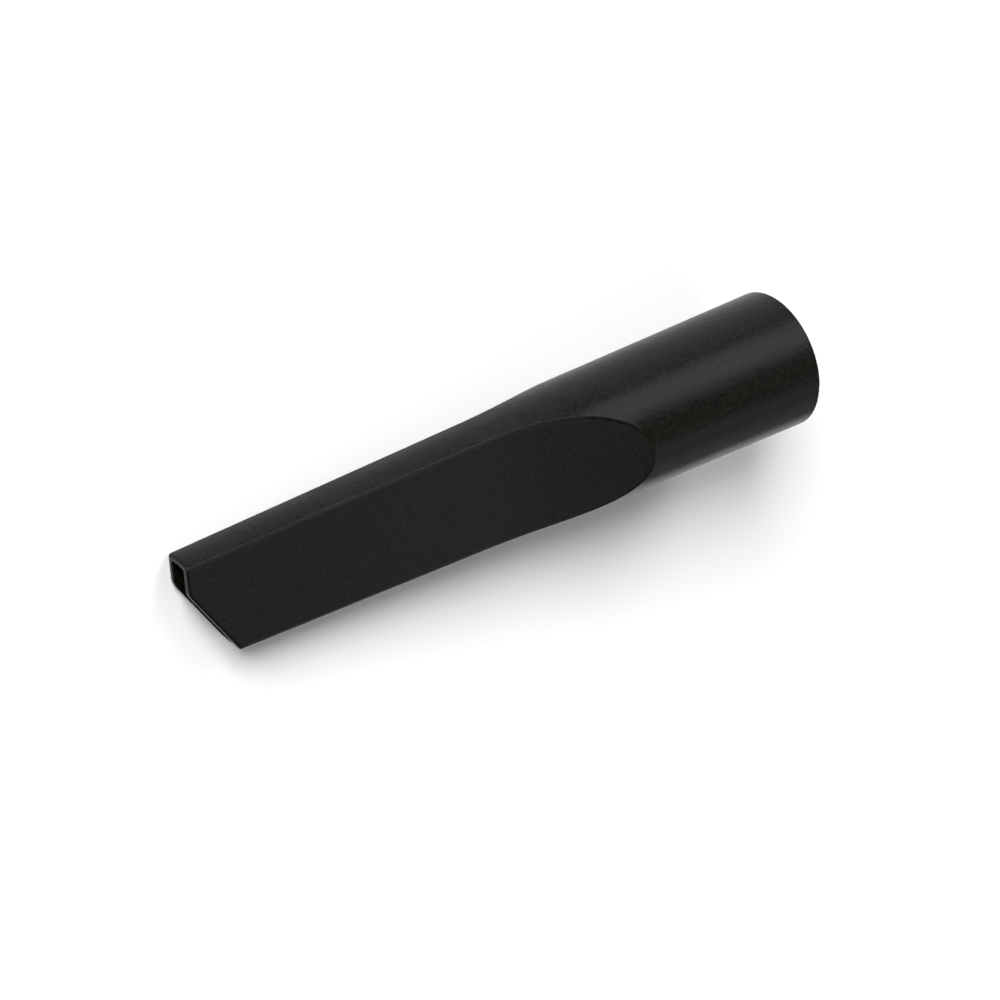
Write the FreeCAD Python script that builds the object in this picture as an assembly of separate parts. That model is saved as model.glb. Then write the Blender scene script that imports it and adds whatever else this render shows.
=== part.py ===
import FreeCAD, Part
import math
import os
from FreeCAD import Vector

# Crevice tool of a vacuum cleaner, moulded in one piece of plastic.
# A round socket pushes over the end of the wand. Past its neck the round wall tapers to the tip, and a flat
# on each side makes a narrow nozzle of it. The flats run out into the round socket along an arc, and the
# hollow follows the outside from the socket's stop to the mouth of the nozzle.
# While it is built, the tool's axis is X, with the socket's mouth at x = 0 and the tip at x = -tool_length.
# Lengths are in millimetres and angles in degrees. Radii and distances along the tool start at the axis
# and at the socket's mouth.

# Socket for the wand
bore_radius = 17.5
bore_depth = 45.0
stop_ledge = 0.5
lead_in = 0.8
mouth_wall = 2.5
socket_rim_radius = 0.6

# Round wall, from the socket's mouth over the neck to the tip
tool_length = 197.9
socket_length = 71.5
socket_draft = 0.89
nozzle_taper = 1.3
neck_blend = 10.0

# Flats on the two sides of the nozzle
tip_thickness = 9.4
run_out_thickness = 12.4
run_out_distance = 105.5
run_out_radius = 99.0
crease_radius = 1.2

# Walls of the nozzle
tip_wall = 1.8
neck_wall = 2.0
inner_crease_radius = 0.5

# Mouth of the nozzle: square at its upper end, then cut back at a slant
square_end_height = 6.5
slant_angle = 30.7
slant_corner_radius = 5.5
mouth_rim_radius = 0.8

# How far the round wall, and then a shape that trims it, runs on past a finished surface
overrun = 5.0
trim_overrun = 2 * overrun

# What counts as nothing when faces and edges are told apart
tolerance = 1e-4

# Outside radii that follow from the bore, its wall and the two tapers
mouth_radius = bore_radius + mouth_wall
neck_radius = mouth_radius - socket_length * math.tan(math.radians(socket_draft))
tip_radius = neck_radius - (tool_length - socket_length) * math.tan(math.radians(nozzle_taper))


def line(start, end):
    return Part.LineSegment(start, end).toShape()


def revolved(profile):
    """Solid swept about the axis by a half profile, given as edges from the tip's end to the mouth's.

    The seam where the sweep closes lies along the slant's side of the tool.
    """
    first = profile[0].Vertexes[0].Point
    last = profile[-1].Vertexes[-1].Point
    first_on_axis = Vector(first.x, 0, 0)
    last_on_axis = Vector(last.x, 0, 0)
    closing = [
        line(last, last_on_axis),
        line(last_on_axis, first_on_axis),
        line(first_on_axis, first),
    ]
    face = Part.Face(Part.Wire(profile + closing))
    solid = face.revolve(Vector(0, 0, 0), Vector(1, 0, 0), 360)
    solid.rotate(Vector(0, 0, 0), Vector(1, 0, 0), 180)
    return solid


def tapered_wall(tip, neck, end_distance, end):
    """Profile of a round wall through three radii, with a soft change of taper at the neck."""
    nozzle_slope = (neck - tip) / (tool_length - socket_length)
    socket_slope = (end - neck) / (socket_length - end_distance)
    half = neck_blend / 2
    past_tip = Vector(-tool_length - overrun, 0, tip - overrun * nozzle_slope)
    corner = Vector(-socket_length, 0, neck)
    before = corner - Vector(half, 0, half * nozzle_slope)
    after = corner + Vector(half, 0, half * socket_slope)
    bend = Part.BezierCurve()
    bend.setPoles([before, corner, after])
    return [line(past_tip, before), bend.toShape(), line(after, Vector(-end_distance, 0, end))]


def flank(tip_half, run_out_half, radius):
    """Plan of one flat: a slow taper from past the tip, then the arc on which it runs out."""
    slope = math.atan2(run_out_half - tip_half, tool_length - run_out_distance)
    past_tip = Vector(-tool_length - trim_overrun, tip_half - trim_overrun * math.tan(slope), 0)
    run_out = Vector(-run_out_distance, run_out_half, 0)
    centre = run_out + Vector(-math.sin(slope), math.cos(slope), 0) * radius
    end_angle = math.acos((centre.y - mouth_radius - overrun) / radius)

    def on_arc(angle):
        return centre + Vector(math.sin(angle), -math.cos(angle), 0) * radius

    arc = Part.Arc(run_out, on_arc((slope + end_angle) / 2), on_arc(end_angle))
    return line(past_tip, run_out), arc.toShape()


def flat_slab(tip_half, run_out_half, radius):
    """Block between the two flats, as wide as the round wall where they have run out."""
    taper, arc = flank(tip_half, run_out_half, radius)
    past_tip = taper.Vertexes[0].Point
    arc_end = arc.Vertexes[-1].Point
    past_mouth = Vector(max(arc_end.x, 0) + overrun, arc_end.y, 0)
    side = [taper, arc, line(arc_end, past_mouth)]
    other_side = [edge.mirror(Vector(0, 0, 0), Vector(0, 1, 0)) for edge in side]
    tip_end = line(past_tip, Vector(past_tip.x, -past_tip.y, 0))
    mouth_end = line(past_mouth, Vector(past_mouth.x, -past_mouth.y, 0))
    outline = Part.Wire(Part.__sortEdges__(side + other_side + [tip_end, mouth_end]))
    slab = Part.Face(outline).extrude(Vector(0, 0, 2 * arc_end.y))
    slab.translate(Vector(0, 0, -arc_end.y))
    return slab


def normal(face):
    """Direction that a face looks in at its middle."""
    u_low, u_high, v_low, v_high = face.ParameterRange
    return face.normalAt((u_low + u_high) / 2, (v_low + v_high) / 2)


def edges_between(solid, is_one_side):
    """Edges with a face that passes the test on one side and a face that doesn't on the other."""
    found = []
    for edge in solid.Edges:
        sides = [is_one_side(face) for face in solid.ancestorsOfType(edge, Part.Face)]
        if any(sides) and not all(sides):
            found.append(edge)
    return found


def is_flank(face):
    """The flats and their run-outs are upright walls that look sideways."""
    return abs(normal(face).z) < tolerance and abs(normal(face).y) > tolerance


def is_nozzle_mouth(face):
    """The mouth's faces look ahead, and not sideways, more than they look up or down."""
    return abs(normal(face).y) < tolerance and normal(face).x < -abs(normal(face).z)


def is_socket_mouth(face):
    """The end ring of the socket looks straight back along the axis."""
    return normal(face).x > 1 - tolerance


def flattened(round_solid, tip_half, run_out_half, radius, edge_radius):
    """Round solid between the two flats, with the creases along it rounded."""
    solid = round_solid.common(flat_slab(tip_half, run_out_half, radius))
    creases = []
    for edge in edges_between(solid, is_flank):
        if edge.BoundBox.XLength > tolerance:
            creases.append(edge)
    return solid.makeFillet(edge_radius, creases)


def nozzle_mouth_cutter():
    """Everything ahead of the nozzle's mouth: a square upper end that turns into the slant on an arc."""
    turn = math.radians(slant_angle)
    reach = mouth_radius + overrun
    front = -tool_length
    tangent = slant_corner_radius * math.tan(turn / 2)
    along_slant = Vector(math.sin(turn), 0, -math.cos(turn))
    corner = Vector(front, 0, square_end_height)
    arc_start = corner + Vector(0, 0, tangent)
    arc_end = corner + along_slant * tangent
    arc_centre = arc_start + Vector(slant_corner_radius, 0, 0)
    arc_middle = arc_centre - Vector(math.cos(turn / 2), 0, math.sin(turn / 2)) * slant_corner_radius
    top = Vector(front, 0, reach)
    bottom = corner + along_slant * ((square_end_height + reach) / math.cos(turn))
    ahead = front - trim_overrun
    ahead_bottom = Vector(ahead, 0, bottom.z)
    ahead_top = Vector(ahead, 0, reach)
    outline = Part.Wire([
        line(top, arc_start),
        Part.Arc(arc_start, arc_middle, arc_end).toShape(),
        line(arc_end, bottom),
        line(bottom, ahead_bottom),
        line(ahead_bottom, ahead_top),
        line(ahead_top, top),
    ])
    cutter = Part.Face(outline).extrude(Vector(0, 2 * reach, 0))
    cutter.translate(Vector(0, -reach, 0))
    return cutter


def outside():
    """The tool as a solid body, before it is hollowed."""
    wall = revolved(tapered_wall(tip_radius, neck_radius, 0, mouth_radius))
    solid = flattened(wall, tip_thickness / 2, run_out_thickness / 2, run_out_radius, crease_radius)
    solid = solid.cut(nozzle_mouth_cutter())
    solid = solid.makeFillet(mouth_rim_radius, edges_between(solid, is_nozzle_mouth))
    return solid.makeFillet(socket_rim_radius, edges_between(solid, is_socket_mouth))


def hollow():
    """The air's way through the tool: the nozzle's channel, and the wand's bore with its lead-in."""
    ledge_radius = bore_radius - stop_ledge
    channel_wall = tapered_wall(tip_radius - tip_wall, neck_radius - neck_wall, bore_depth, ledge_radius)
    channel = flattened(
        revolved(channel_wall),
        tip_thickness / 2 - tip_wall,
        run_out_thickness / 2 - neck_wall,
        run_out_radius + neck_wall,
        inner_crease_radius,
    )
    bore_bottom = Vector(-bore_depth, 0, bore_radius)
    lead_in_start = Vector(-lead_in, 0, bore_radius)
    lead_in_end = Vector(overrun, 0, bore_radius + lead_in + overrun)
    bore = revolved([line(bore_bottom, lead_in_start), line(lead_in_start, lead_in_end)])
    return channel.fuse(bore)


def laid_down(solid):
    """The tool as it lies: one flat down, on the tip's edge and the shoulder where that flat runs out."""
    tip_half = tip_thickness / 2
    arc = flank(tip_half, run_out_thickness / 2, run_out_radius)[1]
    neck = Vector(-socket_length, neck_radius, 0)
    mouth = Vector(0, mouth_radius, 0)
    wall = Part.Wire([line(Vector(-tool_length, tip_radius, 0), neck), line(neck, mouth)])
    shoulder = arc.distToShape(wall)[1][0][0]
    rises = [math.atan2(point.y - tip_half, point.x + tool_length) for point in (shoulder, mouth)]
    solid.rotate(Vector(0, 0, 0), Vector(1, 0, 0), -90)
    solid.rotate(Vector(0, 0, 0), Vector(0, 1, 0), -math.degrees(max(rises)))
    box = solid.optimalBoundingBox()
    solid.translate(Vector(-box.Center.x, -box.Center.y, -box.ZMin))
    return solid


crevice_tool = laid_down(outside().cut(hollow()))

os.makedirs("parts", exist_ok=True)
crevice_tool.exportStep("parts/crevice_tool.step")
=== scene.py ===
import math

import bmesh
import bpy
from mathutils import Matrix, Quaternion, Vector

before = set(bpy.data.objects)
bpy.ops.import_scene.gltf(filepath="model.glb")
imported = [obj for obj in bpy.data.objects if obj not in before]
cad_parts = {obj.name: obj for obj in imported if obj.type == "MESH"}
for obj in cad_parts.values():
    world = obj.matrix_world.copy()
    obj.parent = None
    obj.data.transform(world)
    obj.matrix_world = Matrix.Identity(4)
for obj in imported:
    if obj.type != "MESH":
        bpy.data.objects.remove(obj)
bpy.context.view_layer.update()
scene = bpy.context.scene


# The crevice tool is one hollow moulding in black plastic, socket and nozzle in one piece.
# The mould has a finely eroded face, which leaves a satin grain all over the outside and a soft
# sheen where light grazes the walls.

class Shade:
    """A socket of a material's nodes, with arithmetic that adds Math nodes."""

    def __init__(self, tree, socket=None):
        self.tree = tree
        self.socket = socket

    def node(self, kind, settings, inputs, output=0):
        made = self.tree.nodes.new(kind)
        for name, value in settings.items():
            setattr(made, name, value)
        for name, value in inputs.items():
            if isinstance(value, Shade):
                self.tree.links.new(value.socket, made.inputs[name])
            else:
                made.inputs[name].default_value = value
        return Shade(self.tree, made.outputs[output])

    def math(self, operation, first, second=0):
        return self.node("ShaderNodeMath", {"operation": operation}, {0: first, 1: second})

    def __add__(self, other):
        return self.math("ADD", self, other)

    def __sub__(self, other):
        return self.math("SUBTRACT", self, other)

    def __rsub__(self, other):
        return self.math("SUBTRACT", other, self)

    def __mul__(self, other):
        return self.math("MULTIPLY", self, other)

    __radd__ = __add__
    __rmul__ = __mul__


def new_material(name):
    """A material without nodes yet, a Shade to add them with, and the socket of its surface."""
    material = bpy.data.materials.new(name)
    material.use_nodes = True
    material.node_tree.nodes.clear()
    output = material.node_tree.nodes.new("ShaderNodeOutputMaterial")
    return material, Shade(material.node_tree), output.inputs["Surface"]


BLACK_LOW = (0.0006, 0.0006, 0.0004, 1)
BLACK_HIGH = (0.0056, 0.0056, 0.0038, 1)
GRAIN_SIZE = 0.0008
GRAIN_DEPTH = 0.00006
GRAIN_CONTRAST = 3.6
CLOUD_SIZE = 0.025
NOISE_DETAIL = 3
ROUGHNESS_LOW = 0.2
ROUGHNESS_CLOUD = 0.08
ROUGHNESS_GRAIN = 0.16
SHEEN_LEVEL = 0.14
MIX_FACTOR, MIX_FIRST, MIX_SECOND, MIX_RESULT = 0, 6, 7, 2

black_plastic, shade, surface = new_material("black_plastic")
place = shade.node("ShaderNodeTexCoord", {}, {}, "Object")
grain = shade.node(
    "ShaderNodeTexNoise",
    {},
    {"Vector": place, "Scale": 1 / GRAIN_SIZE, "Detail": NOISE_DETAIL},
)
cloud = shade.node(
    "ShaderNodeTexNoise",
    {},
    {"Vector": place, "Scale": 1 / CLOUD_SIZE, "Detail": NOISE_DETAIL},
)
speckle = GRAIN_CONTRAST * grain + (1 - GRAIN_CONTRAST) / 2
colour = shade.node(
    "ShaderNodeMix",
    {"data_type": "RGBA"},
    {MIX_FACTOR: speckle, MIX_FIRST: BLACK_LOW, MIX_SECOND: BLACK_HIGH},
    MIX_RESULT,
)


# The creases, where the flats meet the round wall, carry a painted highlight: a thin line painted
# a little paler than the rest into the base colour. It follows the taper of the nozzle and the arc
# on which each flat runs out, and fades there.

# Colour, width and fade of the painted highlight along the creases.
CREASE_HIGHLIGHT_COLOUR = (0.014, 0.014, 0.013, 1)
HIGHLIGHT_WIDTH = 0.00062
HIGHLIGHT_FADE = 0.045
CREASE_FROM_FLAT = 0.00006
CREASE_FROM_WALL = 0.00052
AXIS_PITCH = math.radians(5.884)
RUN_OUT_START = Vector((-0.0073084, 0, 0.0141263))
RUN_OUT_RADIUS = 0.099
HALF_THICKNESS, FLAT_SLOPE = 0.0062, 0.016234
WALL_RADIUS, WALL_SLOPE = 0.018117, 0.022693
NECK_RADIUS, SOCKET_SLOPE = 0.018361, 0.015534

ACROSS = Vector((0, 1, 0))
ALONG = Vector((math.cos(AXIS_PITCH), 0, math.sin(AXIS_PITCH)))
UPWARD = Vector((-math.sin(AXIS_PITCH), 0, math.cos(AXIS_PITCH)))


def reach(direction):
    """How far a point lies in a direction from the start of the run-out on the axis."""
    span = shade.node(
        "ShaderNodeVectorMath",
        {"operation": "DOT_PRODUCT"},
        {0: place, 1: direction},
        "Value",
    )
    return span - RUN_OUT_START.dot(direction)


along, across, upward = reach(ALONG), reach(ACROSS), reach(UPWARD)
run_out = shade.math("MAXIMUM", along, 0)
height = shade.math("ABSOLUTE", upward)
radius = shade.math("SQRT", across * across + upward * upward)
drop = shade.math("SQRT", RUN_OUT_RADIUS**2 - run_out * run_out)
flat = HALF_THICKNESS + RUN_OUT_RADIUS + FLAT_SLOPE * along - drop
nozzle_wall = WALL_RADIUS + WALL_SLOPE * along
socket_wall = NECK_RADIUS + SOCKET_SLOPE * along
wall = shade.math("MINIMUM", nozzle_wall, socket_wall)
below_flat = height - flat + CREASE_FROM_FLAT
inside_wall = radius - wall + CREASE_FROM_WALL
offset = shade.math("SQRT", below_flat * below_flat + inside_wall * inside_wall)
# Mask of the painted highlight, mixed into the base colour below.
painted_highlight = shade.math("MAXIMUM", 1 - 1 / HIGHLIGHT_WIDTH * offset, 0)
highlight_fade = shade.math("MAXIMUM", 1 - 1 / HIGHLIGHT_FADE * run_out, 0)
colour = shade.node(
    "ShaderNodeMix",
    {"data_type": "RGBA"},
    {MIX_FACTOR: painted_highlight * highlight_fade, MIX_FIRST: colour, MIX_SECOND: CREASE_HIGHLIGHT_COLOUR},
    MIX_RESULT,
)
relief = shade.node("ShaderNodeBump", {}, {"Height": grain, "Distance": GRAIN_DEPTH})
plastic = shade.node(
    "ShaderNodeBsdfPrincipled",
    {},
    {
        "Base Color": colour,
        "Roughness": ROUGHNESS_LOW + ROUGHNESS_CLOUD * cloud + ROUGHNESS_GRAIN * grain,
        "Specular IOR Level": SHEEN_LEVEL,
        "Normal": relief,
    },
)
shade.tree.links.new(plastic.socket, surface)

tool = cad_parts["crevice_tool"]
tool.data.materials.clear()
tool.data.materials.append(black_plastic)


# The tool lies on a plain white table, covered by one wide sheet of matt white paper.
# The sheet lies flat and shows nothing but the tool's soft shadow.

PAPER_WHITE = (0.96, 0.96, 0.96, 1)
TABLE_HALF = 6.0

paper, shade, surface = new_material("white_paper")
sheet = shade.node("ShaderNodeBsdfDiffuse", {}, {"Color": PAPER_WHITE})
shade.tree.links.new(sheet.socket, surface)

table_mesh = bpy.data.meshes.new("table")
bm = bmesh.new()
bmesh.ops.create_grid(bm, x_segments=1, y_segments=1, size=TABLE_HALF)
bm.to_mesh(table_mesh)
bm.free()
table = bpy.data.objects.new("table", table_mesh)
scene.collection.objects.link(table)
table_mesh.materials.append(paper)


# Soft boxes on stands and a long strip light, hung level in front, light the table in a dark room.
# The strong key stands behind the square side of the tool and lays a soft shadow along the other;
# the weak ones give the black plastic something to reflect, and two of them are a little cool.

ROOM_GREY = (0.01, 0.01, 0.01, 1)
WHITE_LIGHT = (1, 1, 1)
COOL_LIGHT = (0.98, 1, 1.06)


def hang_lamp(name, kind, strength, tint):
    """A lamp of a kind, and the object that carries it."""
    lamp = bpy.data.lights.new(name, kind)
    lamp.energy = strength
    lamp.color = tint
    holder = bpy.data.objects.new(name, lamp)
    scene.collection.objects.link(holder)
    return lamp, holder


def soft_box(name, towards, strength, spread, tint=WHITE_LIGHT):
    """A wide soft light from a direction, with its spread as an angle in degrees."""
    lamp, holder = hang_lamp(name, "SUN", strength, tint)
    lamp.angle = math.radians(spread)
    holder.rotation_euler = Vector(towards).to_track_quat("Z", "Y").to_euler()


soft_box("key", towards=(-0.43, 0.775, 0.46), strength=5.25, spread=30)
soft_box("side", towards=(0.5, 0.765, 0.4), strength=0.9, spread=32, tint=COOL_LIGHT)
soft_box("upper_side", towards=(0.465, 0.56, 0.69), strength=0.4, spread=24, tint=COOL_LIGHT)
soft_box("top", towards=(0.45, -0.05, 0.89), strength=0.22, spread=44)
soft_box("low_front", towards=(0.5, -0.76, 0.42), strength=0.17, spread=30)

STRIP_PLACE = (0.2, -1.06, 1.7)
STRIP_TILT = 32
STRIP_LENGTH = 2.5
STRIP_WIDTH = 0.45
STRIP_POWER = 5.9

strip, strip_holder = hang_lamp("strip", "AREA", STRIP_POWER, WHITE_LIGHT)
strip.shape = "RECTANGLE"
strip.size = STRIP_LENGTH
strip.size_y = STRIP_WIDTH
strip_holder.location = STRIP_PLACE
strip_holder.rotation_euler.x = math.radians(STRIP_TILT)

room = bpy.data.worlds.new("room")
room.use_nodes = True
room.node_tree.nodes["Background"].inputs["Color"].default_value = ROOM_GREY
scene.world = room


# The camera looks down on the upper flat of the tool from nearly a metre away, with a long lens.
# It is turned so that the tool rises to the right.

VIEW_AZIMUTH = -134.276
VIEW_ELEVATION = 39.745
VIEW_ROLL = 119.092
VIEW_DISTANCE = 0.912496
VIEW_TARGET = Vector((0.000836, -0.007716, 0.014965))
SENSOR_WIDTH = 36
LENS = 120.977

azimuth = math.radians(VIEW_AZIMUTH)
elevation = math.radians(VIEW_ELEVATION)
back = Vector((
    math.sin(azimuth) * math.cos(elevation),
    -math.cos(azimuth) * math.cos(elevation),
    math.sin(elevation),
))
lens = bpy.data.cameras.new("camera")
lens.sensor_width = SENSOR_WIDTH
lens.lens = LENS
camera = bpy.data.objects.new("camera", lens)
camera.rotation_mode = "QUATERNION"
camera.location = VIEW_TARGET + VIEW_DISTANCE * back
roll = Quaternion((0, 0, 1), math.radians(VIEW_ROLL))
camera.rotation_quaternion = (-back).to_track_quat("-Z", "Y") @ roll
scene.collection.objects.link(camera)
scene.camera = camera
scene.view_settings.view_transform = "Standard"
